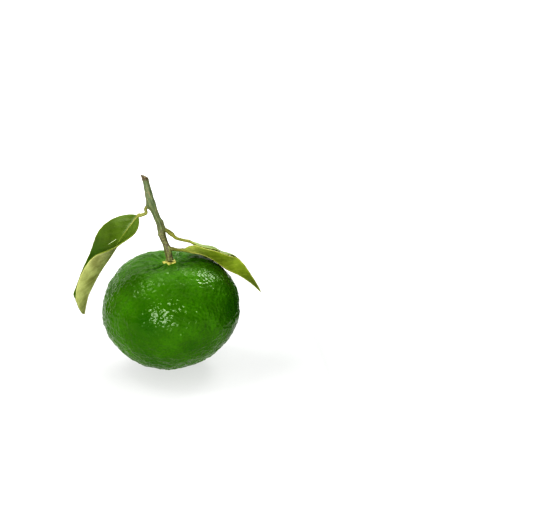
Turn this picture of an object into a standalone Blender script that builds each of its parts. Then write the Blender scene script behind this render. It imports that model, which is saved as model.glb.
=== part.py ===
"""Green clementine with its calyx, woody stalk and three leaves.

The fruit rests on a small flat spot at the origin. +Z is up and the reference view looks
along +Y with +X to the right. Sizes below are in millimetres; the meshes are in metres.
"""
import math

import bmesh
import bpy
import numpy as np
from mathutils import Matrix, Vector, noise
from mathutils.bvhtree import BVHTree

MM = 0.001
GAP = 0.3

# Fruit: a flattened globe with a narrower foot and a hollow round the stalk.
FRUIT_RADIUS = 29.8
TOP_HEIGHT = 24.1
FOOT_HEIGHT = 27.4
TOP_ROUNDNESS = 2.2
FOOT_ROUNDNESS = 1.8
HOLLOW_DEPTH = 3.2
HOLLOW_WIDTH = 11.9
LEAN_FORWARD = 6.0
LEAN_RIGHT = 1.5
FLAT_DEPTH = 0.5
PRESS_DEPTH = 0.6
PRESS_SPREAD = 2.0
# The flat spot's middle, seen from the fruit's own axis; the part is moved so it is the origin.
FLAT_SPOT = (-0.65, 0.72)
FRUIT_CUTS = 23
# Soft dents: turn from the front, height angle, width angle, depth.
DENTS = (
    (-75, -38, 35, -0.4),
    (75, -30, 35, 0.9),
    (-70, 28, 28, 2.1),
    (60, 48, 26, -0.8),
    (85, 0, 30, -0.3),
    (-10, -75, 30, 0.2),
)
FURROWS = 11
FURROW_DEPTH = 0.5
FURROW_FROM = 6.5
FURROW_WIDTH = 5.0
LUMP_SIZE = 7.0
LUMP_DEPTH = 0.3
PEBBLE_SIZE = 3.6
PEBBLE_DEPTH = 0.22

# Calyx: a five-lobed star lying in the hollow.
CALYX_RADIUS = 2.95
CALYX_WAIST = 2.0
CALYX_LOBES = 5
CALYX_TURN = 18.0
CALYX_THICK = 0.8
CALYX_LIFT = 0.35
CALYX_SPOKES = 30
CALYX_RINGS = 4

# Stalk: axis point and radius, from the calyx to the cut end.
STALK = (
    (0.6, -2.2, 49.5, 1.5),
    (0.4, -2.2, 50.8, 1.42),
    (-0.1, -2.2, 53.3, 1.5),
    (-0.8, -2.2, 55.5, 1.25),
    (-1.7, -2.2, 57.9, 1.34),
    (-2.3, -2.2, 60.1, 1.5),
    (-2.6, -2.1, 62.4, 1.75),
    (-2.9, -2.1, 64.4, 1.66),
    (-3.75, -2.0, 66.5, 1.42),
    (-4.6, -2.0, 68.4, 1.36),
    (-5.35, -2.0, 70.6, 1.52),
    (-6.3, -2.0, 72.8, 1.95),
    (-6.8, -2.0, 74.9, 1.68),
    (-7.4, -2.0, 77.8, 1.5),
    (-8.0, -2.0, 81.0, 1.32),
    (-8.5, -2.0, 83.5, 1.3),
    (-8.8, -2.0, 84.7, 1.25),
)
STALK_RINGS = 44
STALK_SIDES = 14
STALK_RIBS = 5
STALK_RIB_DEPTH = 0.06
# Heels where the leaves spring: height, turn from the front, swelling, length along the stalk.
STALK_HEELS = (
    (72.5, -90, 0.4, 0.7),
    (65.0, 80, 0.25, 0.9),
    (62.0, 80, 0.25, 1.2),
    (60.0, -90, 0.35, 0.7),
    (53.8, 80, 0.25, 1.0),
)
CUT_SLANT = 40.0

# Leaves: stations along petiole and midrib. x, y, z, turn of the blade round the midrib,
# then fold and curl of its minus half and of its plus half in degrees, and the rib's radius.
LEFT_PETIOLE = (
    (-8.8, -2.3, 70.8, 14, 0, 0, 0, 0, 0.7),
    (-8.65, -2.5, 70.1, 14, 0, 0, 0, 0, 0.76),
    (-8.6, -2.7, 69.2, 14, 0, 0, 0, 0, 0.76),
    (-9.6, -2.8, 68.7, 14, 0, 0, 0, 0, 0.7),
    (-10.9, -2.9, 68.3, 14, 10, 5, -5, 5, 0.72),
)
LEFT_BLADE = (
    (-12.0, -3.0, 68.0, 14, 26, 20, -10, 10, 0.66),
    (-15.3, -4.0, 63.9, 18, 30, 25, -3, 12, 0.55),
    (-19.4, -5.0, 58.4, 32, 37, 33, 4, 16, 0.5),
    (-23.7, -5.0, 51.7, 55, 42, 39, 15, 20, 0.45),
    (-29.3, -5.0, 43.5, 70, 39, 37, 17, 20, 0.35),
    (-34.3, -4.5, 34.3, 76, 34, 32, 34, 22, 0.3),
    (-35.4, -4.35, 31.2, 77, 29, 28, 52, 27, 0.28),
    (-36.3, -4.15, 27.9, 79, 22, 20, 30, 20, 0.26),
    (-37.0, -4.0, 24.9, 80, 14, 12, 20, 14, 0.25),
)
FRONT_PETIOLE = (
    (2.12, -2.55, 53.6, -100, 0, 0, 0, 0, 0.8),
    (3.13, -2.22, 53.35, -100, 0, 0, 0, 0, 0.66),
    (4.48, -1.28, 52.89, -100, 0, 0, 0, 0, 0.62),
    (5.52, -0.24, 52.58, -100, 0, 0, 10, 0, 0.65),
)
FRONT_BLADE = (
    (6.53, 0.42, 52.33, -100, 5, 10, 45, 18, 0.62),
    (9.85, 1.47, 51.26, -104, 5, 15, 33, 18, 0.52),
    (14.59, 1.66, 50.11, -105, 5, 20, 16, 18, 0.45),
    (19.68, 1.65, 47.46, -108, 5, 20, 20, 20, 0.4),
    (24.78, 2.24, 43.39, -110, 5, 20, 41, 20, 0.35),
    (30.39, 3.23, 40.24, -108, 10, 20, 26, 20, 0.3),
    (35.38, 4.01, 36.48, -104, 10, 20, 20, 16, 0.25),
    (39.45, 4.59, 32.42, -100, 10, 10, 16, 10, 0.2),
)
BACK_PETIOLE = (
    (0.2, -1.65, 61.15, -104, 0, 0, 0, 0, 0.88),
    (0.75, -1.45, 60.6, -104, 0, 0, 0, 0, 0.94),
    (1.3, -1.2, 60.05, -104, 0, 0, 0, 0, 0.96),
    (1.9, -0.9, 59.5, -104, 0, 0, 0, 0, 0.98),
    (2.4, -0.7, 58.9, -104, 0, 0, 0, 0, 0.74),
    (3.54, 0.28, 57.58, -104, 0, 0, 0, 0, 0.68),
    (6.58, 2.16, 56.21, -104, 0, 0, 0, 0, 0.62),
)
BACK_BLADE = (
    (8.73, 3.24, 55.46, -103, 2, 0, 2, 0, 0.56),
    (11.37, 5.01, 53.65, -103.6, 2, 2, 0, 2, 0.45),
    (14.65, 7.09, 52.1, -103.8, 2, 2, 0, 2, 0.4),
    (18.47, 8.88, 50.51, -103.5, 2, 2, 0, 2, 0.35),
    (22.31, 10.38, 48.6, -103, 2, 2, 0, 2, 0.3),
    (25.74, 11.67, 47.19, -104, 2, 2, 0, 2, 0.3),
    (28.37, 12.67, 45.47, -105, 2, 2, 0, 2, 0.25),
    (30.89, 13.67, 42.85, -105, 4, 2, 0, 2, 0.25),
    (33.11, 14.56, 39.83, -104, 6, 2, 0, 2, 0.2),
)
BLADE_THICK = 0.6
EDGE_WAVE = 0.2
PETIOLE_RINGS = 11
BLADE_RINGS = 26
# Where the half section is sampled, from the midrib (0) to the edge (1).
SECTION = (0.1, 0.32, 0.56, 0.8, 1.0)


def axis_frames(points, rolls):
    """Tangent, blade normal and side direction at each point of an axis."""
    tangents = np.gradient(points, axis=0)
    tangents /= np.linalg.norm(tangents, axis=1, keepdims=True)
    viewer = np.array((0.0, -1.0, 0.0))
    facing = viewer - (tangents @ viewer)[:, None] * tangents
    facing /= np.linalg.norm(facing, axis=1, keepdims=True)
    across = np.cross(tangents, facing)
    angle = np.radians(rolls)[:, None]
    normals = facing * np.cos(angle) + across * np.sin(angle)
    return tangents, normals, np.cross(tangents, normals)


def curve_through(rows, dense=40):
    """Smooth curve through the rows, with the running length at each of its samples."""
    data = np.array(rows, float)
    ends = np.vstack([2 * data[0] - data[1], data, 2 * data[-1] - data[-2]])
    step = np.linspace(0, 1, dense, endpoint=False)[:, None]
    pieces = []
    for a, b, c, d in zip(ends, ends[1:], ends[2:], ends[3:]):
        pieces.append(0.5 * (2 * b + (c - a) * step + (2 * a - 5 * b + 4 * c - d) * step**2
                             + (3 * b - a - 3 * c + d) * step**3))
    samples = np.vstack(pieces + [data[-1:]])
    hops = np.linalg.norm(np.diff(samples[:, :3], axis=0), axis=1)
    return samples, np.concatenate([[0.0], np.cumsum(hops)])


def take(samples, lengths, wanted):
    """Rows of the curve at the wanted running lengths."""
    return np.stack([np.interp(wanted, lengths, column) for column in samples.T], axis=1)


def blade_outline(u, peak, base, tip):
    """Half-width share along the blade, 0 at its ends and 1 at the peak."""
    if u < peak:
        return max(0.0, 1 - ((peak - u) / peak) ** base[0]) ** (1 / base[1])
    return max(0.0, 1 - ((u - peak) / (1 - peak)) ** tip[0]) ** (1 / tip[1])


def fruit_point(direction):
    """Point of the fruit's skin, before it leans, for a unit direction from its middle."""
    sine = math.hypot(direction.x, direction.y)
    cosine = direction.z
    roundness, height = (TOP_ROUNDNESS, TOP_HEIGHT) if cosine > 0 else (FOOT_ROUNDNESS, FOOT_HEIGHT)
    rho = FRUIT_RADIUS * sine ** (2 / roundness)
    rise = height * math.copysign(abs(cosine) ** (2 / roundness), cosine)
    turn = math.atan2(direction.x, -direction.y)
    if cosine > 0:
        rise -= HOLLOW_DEPTH * math.exp(-(rho / HOLLOW_WIDTH) ** 2)
        swirl = FURROWS * turn + 1.6 * math.sin(2 * turn + 0.5) + 0.12 * rho
        near = math.exp(-((rho - FURROW_FROM) / FURROW_WIDTH) ** 2) * min(1.0, rho / FURROW_FROM)
        rise -= FURROW_DEPTH * near * (0.5 + 0.5 * math.cos(swirl)) ** 2
    point = Vector((rho * math.sin(turn), -rho * math.cos(turn), rise))
    outward = point.normalized()
    scale = 1.0
    for azimuth, elevation, width, depth in DENTS:
        az, el = math.radians(azimuth), math.radians(elevation)
        middle = Vector((math.cos(el) * math.sin(az), -math.cos(el) * math.cos(az), math.sin(el)))
        away = math.degrees(outward.angle(middle))
        scale -= depth / FRUIT_RADIUS * math.exp(-(away / width) ** 2)
    point *= scale
    lump = LUMP_DEPTH * noise.noise(point / LUMP_SIZE) + PEBBLE_DEPTH * noise.noise(point / PEBBLE_SIZE)
    return point + outward * lump


def make_fruit():
    """Gridded ball shaped into the fruit, with its lowest part pressed flat at z = 0."""
    bm = bmesh.new()
    bmesh.ops.create_cube(bm, size=2.0)
    bmesh.ops.subdivide_edges(bm, edges=bm.edges[:], cuts=FRUIT_CUTS, use_grid_fill=True)
    lean = (Matrix.Rotation(math.radians(LEAN_RIGHT), 3, "Y")
            @ Matrix.Rotation(math.radians(LEAN_FORWARD), 3, "X"))
    for vert in bm.verts:
        even = Vector([math.tan(c * math.pi / 4) for c in vert.co])
        vert.co = lean @ fruit_point(even.normalized())
    drop = min(vert.co.z for vert in bm.verts) + FLAT_DEPTH
    for vert in bm.verts:
        height = vert.co.z - drop
        vert.co.z = max(0.0, height - PRESS_DEPTH * math.exp(-max(height, 0.0) / PRESS_SPREAD))
    return bm


def skin_height(tree, x, y):
    """Height of the first surface met from above at x, y."""
    hit = tree.ray_cast(Vector((x, y, 200.0)), Vector((0, 0, -1)))
    return hit[0].z


def make_calyx(fruit):
    """Five-lobed star that follows the skin of the hollow, its tips a little raised."""
    tree = BVHTree.FromBMesh(fruit)
    centre_x, centre_y = STALK[0][:2]
    bm = bmesh.new()
    layers = []
    for lift in (0.0, CALYX_THICK):
        rings = []
        for ring in range(CALYX_RINGS + 1):
            share = ring / CALYX_RINGS
            loop = []
            for spoke in range(CALYX_SPOKES if ring else 1):
                turn = math.tau * spoke / CALYX_SPOKES
                lobe = 0.5 + 0.5 * math.cos(CALYX_LOBES * turn + math.radians(CALYX_TURN))
                radius = share * (CALYX_WAIST + (CALYX_RADIUS - CALYX_WAIST) * lobe**0.8)
                x = centre_x + radius * math.sin(turn)
                y = centre_y - radius * math.cos(turn)
                thick = lift * (1.0 - 0.3 * share**2)
                rise = GAP + 0.12 + thick + CALYX_LIFT * lobe * share**3
                loop.append(bm.verts.new((x, y, skin_height(tree, x, y) + rise)))
            rings.append(loop)
        layers.append(rings)
    for rings in layers:
        for spoke in range(CALYX_SPOKES):
            after = (spoke + 1) % CALYX_SPOKES
            bm.faces.new((rings[0][0], rings[1][spoke], rings[1][after]))
            for inner, outer in zip(rings[1:], rings[2:]):
                bm.faces.new((inner[spoke], outer[spoke], outer[after], inner[after]))
    for spoke in range(CALYX_SPOKES):
        after = (spoke + 1) % CALYX_SPOKES
        low, high = layers[0][-1], layers[1][-1]
        bm.faces.new((low[spoke], low[after], high[after], high[spoke]))
    return bm


def make_stalk(calyx):
    """Knotty twig standing on the calyx, ribbed lengthwise, with a slanting cut on top."""
    samples, lengths = curve_through(STALK)
    rows = take(samples, lengths, np.linspace(0, lengths[-1], STALK_RINGS + 1))
    points, radii = rows[:, :3], rows[:, 3]
    tangents, normals, sides = axis_frames(points, np.zeros(len(points)))
    top = skin_height(BVHTree.FromBMesh(calyx), points[0][0], points[0][1])
    floor = max(top, max(v.co.z for v in calyx.verts if (v.co.xy - Vector(points[0][:2])).length < radii[0]))
    bm = bmesh.new()
    rings = []
    for index, (point, radius) in enumerate(zip(points, radii)):
        loop = []
        for side in range(STALK_SIDES):
            turn = math.tau * side / STALK_SIDES
            reach = radius * (1 + STALK_RIB_DEPTH * math.cos(STALK_RIBS * turn + 0.25 * index))
            for height, facing, swelling, spread in STALK_HEELS:
                towards = max(0.0, math.cos(turn - math.radians(facing)))
                reach += swelling * towards**2 * math.exp(-((point[2] - height) / spread) ** 2)
            spot = point + reach * (normals[index] * math.cos(turn) + sides[index] * math.sin(turn))
            if index == 0:
                spot[2] = floor + GAP + 0.05
            if index == STALK_RINGS:
                spot = spot - tangents[index] * (spot[0] - point[0]) * math.tan(math.radians(CUT_SLANT))
            loop.append(bm.verts.new(spot))
        rings.append(loop)
    for low, high in zip(rings, rings[1:]):
        for side in range(STALK_SIDES):
            after = (side + 1) % STALK_SIDES
            bm.faces.new((low[side], low[after], high[after], high[side]))
    bm.faces.new(rings[0])
    bm.faces.new(rings[-1])
    return bm


def section_ring(row, u, width, outline, frame):
    """Points of the upper and of the lower face across the leaf at one station."""
    _, normal, side = frame
    point, rib = row[:3], row[8]
    folds = {-1: np.radians(row[4:6]), 1: np.radians(row[6:8])}
    half = max(rib, width * blade_outline(u, *outline)) if u > 0 else rib
    flat = min(1.0, max(0.0, u / 0.08))
    flat = flat * flat * (3 - 2 * flat)
    blade_v = [-v for v in reversed(SECTION)] + [0.0] + list(SECTION)
    count = len(blade_v)
    upper, lower = [], []
    for index, v_flat in enumerate(blade_v):
        angle = math.pi * (index + 0.5) / count
        v = (1 - flat) * -math.cos(angle) + flat * v_flat
        reach, hand = abs(v), (1 if v > 0 else -1)
        fold, curl = folds[hand]
        curl = curl if abs(curl) > 1e-4 else 1e-4
        along = (math.sin(fold + curl * reach) - math.sin(fold)) / curl
        rise = -(math.cos(fold + curl * reach) - math.cos(fold)) / curl
        tilt = fold + curl * reach
        outward = normal * math.cos(tilt) - side * hand * math.sin(tilt)
        wave = EDGE_WAVE * flat * reach**2 * math.sin(math.tau * 3.2 * u + 1.5 * hand) * math.sin(math.pi * u)
        middle = point + side * hand * half * along + normal * half * rise + outward * wave
        round_half = rib * math.sin(angle)
        bump = rib * max(0.0, 1 - (v * half / (2 * rib)) ** 2)
        over = (1 - flat) * round_half + flat * BLADE_THICK / 2
        under = (1 - flat) * round_half + flat * (BLADE_THICK / 2 + bump)
        upper.append(middle + outward * over)
        lower.append(middle - outward * under)
    return upper, lower


def make_leaf(petiole, blade, width, outline):
    """Petiole and blade as one closed loft, both faces of the blade cut into the same triangles."""
    samples, lengths = curve_through(petiole + blade)
    joint = lengths[40 * len(petiole)]
    blade_share = np.linspace(0, 1, BLADE_RINGS + 1)
    wanted = np.concatenate([np.linspace(0, joint, PETIOLE_RINGS, endpoint=False),
                             joint + (lengths[-1] - joint) * blade_share])
    shares = np.concatenate([np.zeros(PETIOLE_RINGS), blade_share])
    rows = take(samples, lengths, wanted)
    frames = list(zip(*axis_frames(rows[:, :3], rows[:, 3])))
    bm = bmesh.new()
    upper, lower = [], []
    for row, share, frame in zip(rows, shares, frames):
        over, under = section_ring(row, share * 0.985, width, outline, frame)
        upper.append([bm.verts.new(spot) for spot in over])
        lower.append([bm.verts.new(spot) for spot in under])
    across = len(upper[0])
    for face in (upper, lower):
        for near, far in zip(face, face[1:]):
            for k in range(across - 1):
                bm.faces.new((near[k], near[k + 1], far[k + 1]))
                bm.faces.new((near[k], far[k + 1], far[k]))
    for end in (0, -1):
        for k in range(across - 1):
            bm.faces.new((upper[end][k], upper[end][k + 1], lower[end][k + 1], lower[end][k]))
    for edge in (0, -1):
        for index in range(len(upper) - 1):
            bm.faces.new((upper[index][edge], upper[index + 1][edge],
                          lower[index + 1][edge], lower[index][edge]))
    return bm


def add_part(name, bm, colour, roughness):
    """Scale to metres, put the flat spot at the origin and link as an object with its material."""
    move = Vector((-FLAT_SPOT[0], -FLAT_SPOT[1], 0.0))
    for vert in bm.verts:
        vert.co = (vert.co + move) * MM
    bmesh.ops.recalc_face_normals(bm, faces=bm.faces[:])
    mesh = bpy.data.meshes.new(name)
    bm.to_mesh(mesh)
    bm.free()
    mesh.shade_smooth()
    part = bpy.data.objects.new(name, mesh)
    bpy.context.scene.collection.objects.link(part)
    material = bpy.data.materials.new(name + "_surface")
    material.use_nodes = True
    surface = material.node_tree.nodes["Principled BSDF"]
    surface.inputs["Base Color"].default_value = (*colour, 1.0)
    surface.inputs["Roughness"].default_value = roughness
    mesh.materials.append(material)
    return part


def main():
    """Build the fruit first: the calyx lies on it and the stalk stands on the calyx."""
    for old in list(bpy.data.objects):
        bpy.data.objects.remove(old, do_unlink=True)
    fruit = make_fruit()
    calyx = make_calyx(fruit)
    stalk = make_stalk(calyx)
    left = make_leaf(LEFT_PETIOLE, LEFT_BLADE, 10.8, (0.38, (2.0, 1.5), (2.2, 1.6)))
    front = make_leaf(FRONT_PETIOLE, FRONT_BLADE, 7.6, (0.58, (2.6, 1.9), (1.3, 1.0)))
    back = make_leaf(BACK_PETIOLE, BACK_BLADE, 7.0, (0.42, (2.0, 1.5), (1.6, 1.1)))
    add_part("fruit", fruit, (0.10, 0.26, 0.01), 0.35)
    add_part("calyx", calyx, (0.35, 0.33, 0.09), 0.7)
    add_part("stem", stalk, (0.17, 0.19, 0.07), 0.75)
    add_part("leaf_left", left, (0.07, 0.2, 0.015), 0.4)
    add_part("leaf_right_front", front, (0.28, 0.36, 0.05), 0.5)
    add_part("leaf_right_back", back, (0.2, 0.32, 0.05), 0.45)


main()
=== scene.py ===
"""Green clementine on its twig, dressed for a picture.

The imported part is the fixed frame. Every node of it is replaced by a finer piece that keeps the
node's form and place: the peel, the calyx, the twig, and three leaves, each a blade and a petiole.
Sizes are in millimetres until a piece is put in the scene, which is in metres. +Z is up, and the
picture looks along +Y.
"""
from __future__ import annotations

import logging
import math
from collections.abc import Callable
from dataclasses import dataclass
from enum import Enum
from functools import partial

import bmesh
import bpy
import numpy as np
from mathutils import Matrix, Vector, noise
from mathutils.bvhtree import BVHTree

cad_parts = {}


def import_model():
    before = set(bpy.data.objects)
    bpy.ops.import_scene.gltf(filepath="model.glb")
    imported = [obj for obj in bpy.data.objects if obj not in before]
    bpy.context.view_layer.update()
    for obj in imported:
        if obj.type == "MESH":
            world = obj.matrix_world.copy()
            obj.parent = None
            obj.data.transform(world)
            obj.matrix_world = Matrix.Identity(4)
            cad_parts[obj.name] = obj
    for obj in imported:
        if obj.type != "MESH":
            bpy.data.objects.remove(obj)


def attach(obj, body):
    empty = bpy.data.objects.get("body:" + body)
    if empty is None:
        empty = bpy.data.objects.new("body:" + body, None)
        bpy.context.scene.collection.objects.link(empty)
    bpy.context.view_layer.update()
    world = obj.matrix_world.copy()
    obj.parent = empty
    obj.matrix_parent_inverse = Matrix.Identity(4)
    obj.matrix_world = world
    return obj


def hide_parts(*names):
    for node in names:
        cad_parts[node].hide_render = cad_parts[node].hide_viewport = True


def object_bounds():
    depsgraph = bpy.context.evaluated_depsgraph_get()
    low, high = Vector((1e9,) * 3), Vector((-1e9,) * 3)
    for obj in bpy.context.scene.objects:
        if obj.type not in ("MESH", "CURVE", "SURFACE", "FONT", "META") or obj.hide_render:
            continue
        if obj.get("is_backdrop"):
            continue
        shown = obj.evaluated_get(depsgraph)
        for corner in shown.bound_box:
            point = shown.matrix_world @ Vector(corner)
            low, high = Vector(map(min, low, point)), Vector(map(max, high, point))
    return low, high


LOG = logging.getLogger("clementine")
MM = 0.001
BODY = "root"
# The flat spot's middle, seen from the fruit's own axis. The part stands with it on the origin.
FLAT_SPOT = (-0.65, 0.72)
# Samples between two rows of a curve.
DENSE = 40
# A leaf's side veins, in millimetres: their spacing, how far they run on towards the tip for each
# millimetre outwards, how that grows, and how far the two halves' veins are shifted apart.
VEIN_SPACING = 3.6
VEIN_SLANT = 0.62
VEIN_BOW = 0.035
VEIN_SHIFT = 0.9

# Where the peel's bumps start in the noise, so that they don't line up with its pebbles.
BUMP_START = Vector((7.0, 3.0, 1.0))
# Settings of a Mix node for colours, fed with a mask, a colour and what the mask lays over it.
COLOURS = {"data_type": "RGBA", "at": (0, 6, 7), "output": 2}

Array = np.ndarray
BMesh = bmesh.types.BMesh
Material = bpy.types.Material
Socket = bpy.types.NodeSocket
Row = tuple[float, ...]
Pair = tuple[float, float]
Spot = tuple[float, float, float]
Adder = Callable[..., Socket]


class Slot(Enum):
    """The record's material slots."""

    RIND = "rind"
    CALYX = "calyx"
    BARK = "bark"
    DARK_LEAF = "leaf_dark"
    PALE_LEAF = "leaf_pale"


def srgb(code: str) -> Row:
    """Turn a six-digit sRGB hex colour into a linear colour.

    Args:
        code: Colour such as "3a7208".

    Returns:
        Linear red, green, blue and an alpha of 1.
    """
    parts = [int(code[start:start + 2], 16) / 255 for start in (0, 2, 4)]
    red, green, blue = (p / 12.92 if p <= 0.04045 else ((p + 0.055) / 1.055) ** 2.4 for p in parts)
    return (red, green, blue, 1.0)


def feed(node: bpy.types.Node, inputs: dict[str | int, object]) -> None:
    """Set a node's properties and inputs, and link each input that is given a socket.

    Args:
        node: The node.
        inputs: Property names, input names or input numbers with their values. The name stops
            takes a colour ramp's positions and hex colours.
    """
    for name, value in inputs.items():
        if name == "stops":
            ramp = node.color_ramp.elements
            while len(ramp) < len(value):
                ramp.new(0.5)
            for element, (position, code) in zip(ramp, value):
                element.position = position
                element.color = srgb(code)
        elif isinstance(value, bpy.types.NodeSocket):
            node.id_data.links.new(value, node.inputs[name])
        elif isinstance(name, str) and hasattr(node, name):
            setattr(node, name, value)
        else:
            node.inputs[name].default_value = value


def add_node(
    tree: bpy.types.NodeTree,
    kind: str,
    *values: object,
    at: tuple[int, ...] = (0, 1, 2, 3, 4),
    output: str | int = 0,
    **settings: object,
) -> Socket:
    """Add a node with its settings and links.

    Args:
        tree: Node tree that the node goes into.
        kind: Blender's type name of the node, after ShaderNode.
        *values: Values or sockets for its inputs, in the node's own order.
        at: Numbers of those inputs.
        output: Name or number of the wanted output.
        **settings: Its properties and named inputs, as feed takes them.

    Returns:
        The wanted output.
    """
    node = tree.nodes.new("ShaderNode" + kind)
    feed(node, {**settings, **dict(zip(at, values))})
    return node.outputs[output]


def new_material(name: str) -> tuple[Material, Adder, bpy.types.Node]:
    """Make a material with only an output and a Principled shader.

    Args:
        name: Name of the real stuff.

    Returns:
        The material, what adds a node to it, and its shader.
    """
    material = bpy.data.materials.new(name)
    material.use_nodes = True
    tree = material.node_tree
    tree.nodes.clear()
    output = tree.nodes.new("ShaderNodeOutputMaterial")
    shader = tree.nodes.new("ShaderNodeBsdfPrincipled")
    feed(output, {"Surface": shader.outputs["BSDF"]})
    return material, partial(add_node, tree), shader


def per_mm(size: float) -> float:
    """Texture scale that gives features of a size in millimetres on Object coordinates."""
    return 1.0 / (size * MM)


def curve_through(rows: tuple[Row, ...]) -> tuple[Array, Array]:
    """Run a smooth curve through the rows.

    Args:
        rows: Stations, each with a point and whatever changes along the curve.

    Returns:
        The samples, and the running length at each of them.
    """
    data = np.array(rows, float)
    ends = np.vstack([2 * data[0] - data[1], data, 2 * data[-1] - data[-2]])
    step = np.linspace(0, 1, DENSE, endpoint=False)[:, None]
    pieces = []
    for a, b, c, d in zip(ends, ends[1:], ends[2:], ends[3:]):
        pieces.append(0.5 * (2 * b + (c - a) * step + (2 * a - 5 * b + 4 * c - d) * step**2
                             + (3 * b - a - 3 * c + d) * step**3))
    samples = np.vstack(pieces + [data[-1:]])
    hops = np.linalg.norm(np.diff(samples[:, :3], axis=0), axis=1)
    return samples, np.concatenate([[0.0], np.cumsum(hops)])


def take(samples: Array, lengths: Array, wanted: Array) -> Array:
    """Read rows of a curve at the wanted running lengths."""
    return np.stack([np.interp(wanted, lengths, column) for column in samples.T], axis=1)


def unit(vectors: Array) -> Array:
    """Scale each row to length 1."""
    return vectors / np.maximum(np.linalg.norm(vectors, axis=1, keepdims=True), 1e-9)


def heading(azimuth: float, elevation: float) -> Spot:
    """Find the direction of a turn from the front, rightwards, and a height angle.

    Args:
        azimuth: The turn, in degrees.
        elevation: The height angle, in degrees.

    Returns:
        The direction, of length 1.
    """
    az, el = math.radians(azimuth), math.radians(elevation)
    return (math.sin(az) * math.cos(el), -math.cos(az) * math.cos(el), math.sin(el))


def axis_frames(points: Array, rolls: Array) -> tuple[Array, Array, Array]:
    """Find the directions that go with each point of an axis.

    Args:
        points: Points of the axis.
        rolls: Turn round the axis at each point, in degrees, from facing the front.

    Returns:
        Tangent, normal and side direction at each point.
    """
    tangents = unit(np.gradient(points, axis=0))
    front = np.array((0.0, -1.0, 0.0))
    facing = unit(front - (tangents @ front)[:, None] * tangents)
    across = np.cross(tangents, facing)
    angle = np.radians(rolls)[:, None]
    normals = facing * np.cos(angle) + across * np.sin(angle)
    return tangents, normals, np.cross(tangents, normals)


def extrude_ring(
    bm: BMesh, edges: list[bmesh.types.BMEdge]
) -> tuple[list[bmesh.types.BMVert], list[bmesh.types.BMEdge]]:
    """Extrude a closed ring of edges once.

    Args:
        bm: Mesh that holds the ring.
        edges: Edges of the ring.

    Returns:
        Vertices and edges of the new ring.
    """
    made = bmesh.ops.extrude_edge_only(bm, edges=edges)["geom"]
    loop = [item for item in made if isinstance(item, bmesh.types.BMVert)]
    fresh = set(loop)
    around = [edge for vert in loop for edge in vert.link_edges if fresh.issuperset(edge.verts)]
    return loop, list(dict.fromkeys(around))


def ring_point(reach: float, turn: float, length: float) -> Vector:
    """Point of a plain tube, for patterns that run along a stem without a seam."""
    return Vector((reach * math.cos(turn), reach * math.sin(turn), length))


def sweep(
    bm: BMesh, sides: int, lengths: Array, place: Callable[[int, float], Vector], grain: Pair
) -> None:
    """Extrude a circle ring by ring into a tube with closed ends.

    The attribute along keeps the running length, and grain the place for lengthwise streaks.

    Args:
        bm: Empty mesh that takes the tube.
        sides: Number of vertices in a ring.
        lengths: Running length at each ring.
        place: Gives the spot of a vertex, from its ring and its turn in radians.
        grain: How fast the streaks change round the tube, and along it.
    """
    streaks = bm.verts.layers.float_vector.new("grain")
    turns = bm.verts.layers.float.new("turn")
    along = bm.verts.layers.float.new("along")
    loop = bmesh.ops.create_circle(bm, cap_ends=False, segments=sides, radius=1.0)["verts"]
    for vert in loop:
        vert[turns] = math.atan2(vert.co.y, vert.co.x)
    first = edges = bm.edges[:]
    for ring, length in enumerate(lengths):
        if ring:
            loop, edges = extrude_ring(bm, edges)
        for vert in loop:
            vert.co = place(ring, vert[turns])
            vert[along] = length
            vert[streaks] = ring_point(grain[0], vert[turns], grain[1] * vert[along])
    bmesh.ops.holes_fill(bm, edges=first + edges, sides=0)


def add_object(name: str, bm: BMesh, *materials: Material) -> bpy.types.Object:
    """Turn a mesh into an object of the scene, at the origin and unturned.

    Args:
        name: Name of the object.
        bm: Its mesh in metres, which is freed.
        *materials: Its materials, in slot order.

    Returns:
        The new object.
    """
    mesh = bpy.data.meshes.new(name)
    bm.to_mesh(mesh)
    bm.free()
    for material in materials:
        mesh.materials.append(material)
    made = bpy.data.objects.new(name, mesh)
    bpy.context.scene.collection.objects.link(made)
    return made


def put_in_scene(
    name: str, bm: BMesh, materials: list[Material], slot: Slot, replaced: str | None = None
) -> bpy.types.Object:
    """Move a mesh to its place in metres and make it a piece of the part.

    Args:
        name: Name of the piece.
        bm: Its mesh in millimetres, which is freed.
        materials: Its materials, in slot order.
        slot: The record's material slot that it follows; not used.
        replaced: CAD node that it stands for, if any.

    Returns:
        The new piece.
    """
    bmesh.ops.translate(bm, verts=bm.verts[:], vec=(-FLAT_SPOT[0], -FLAT_SPOT[1], 0.0))
    bmesh.ops.scale(bm, verts=bm.verts[:], vec=(MM, MM, MM))
    piece = add_object(name, bm, *materials)
    piece.data.shade_smooth()
    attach(piece, BODY)
    if replaced:
        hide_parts(replaced)
    LOG.info("%s: %d faces", name, len(piece.data.polygons))
    return piece


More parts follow.
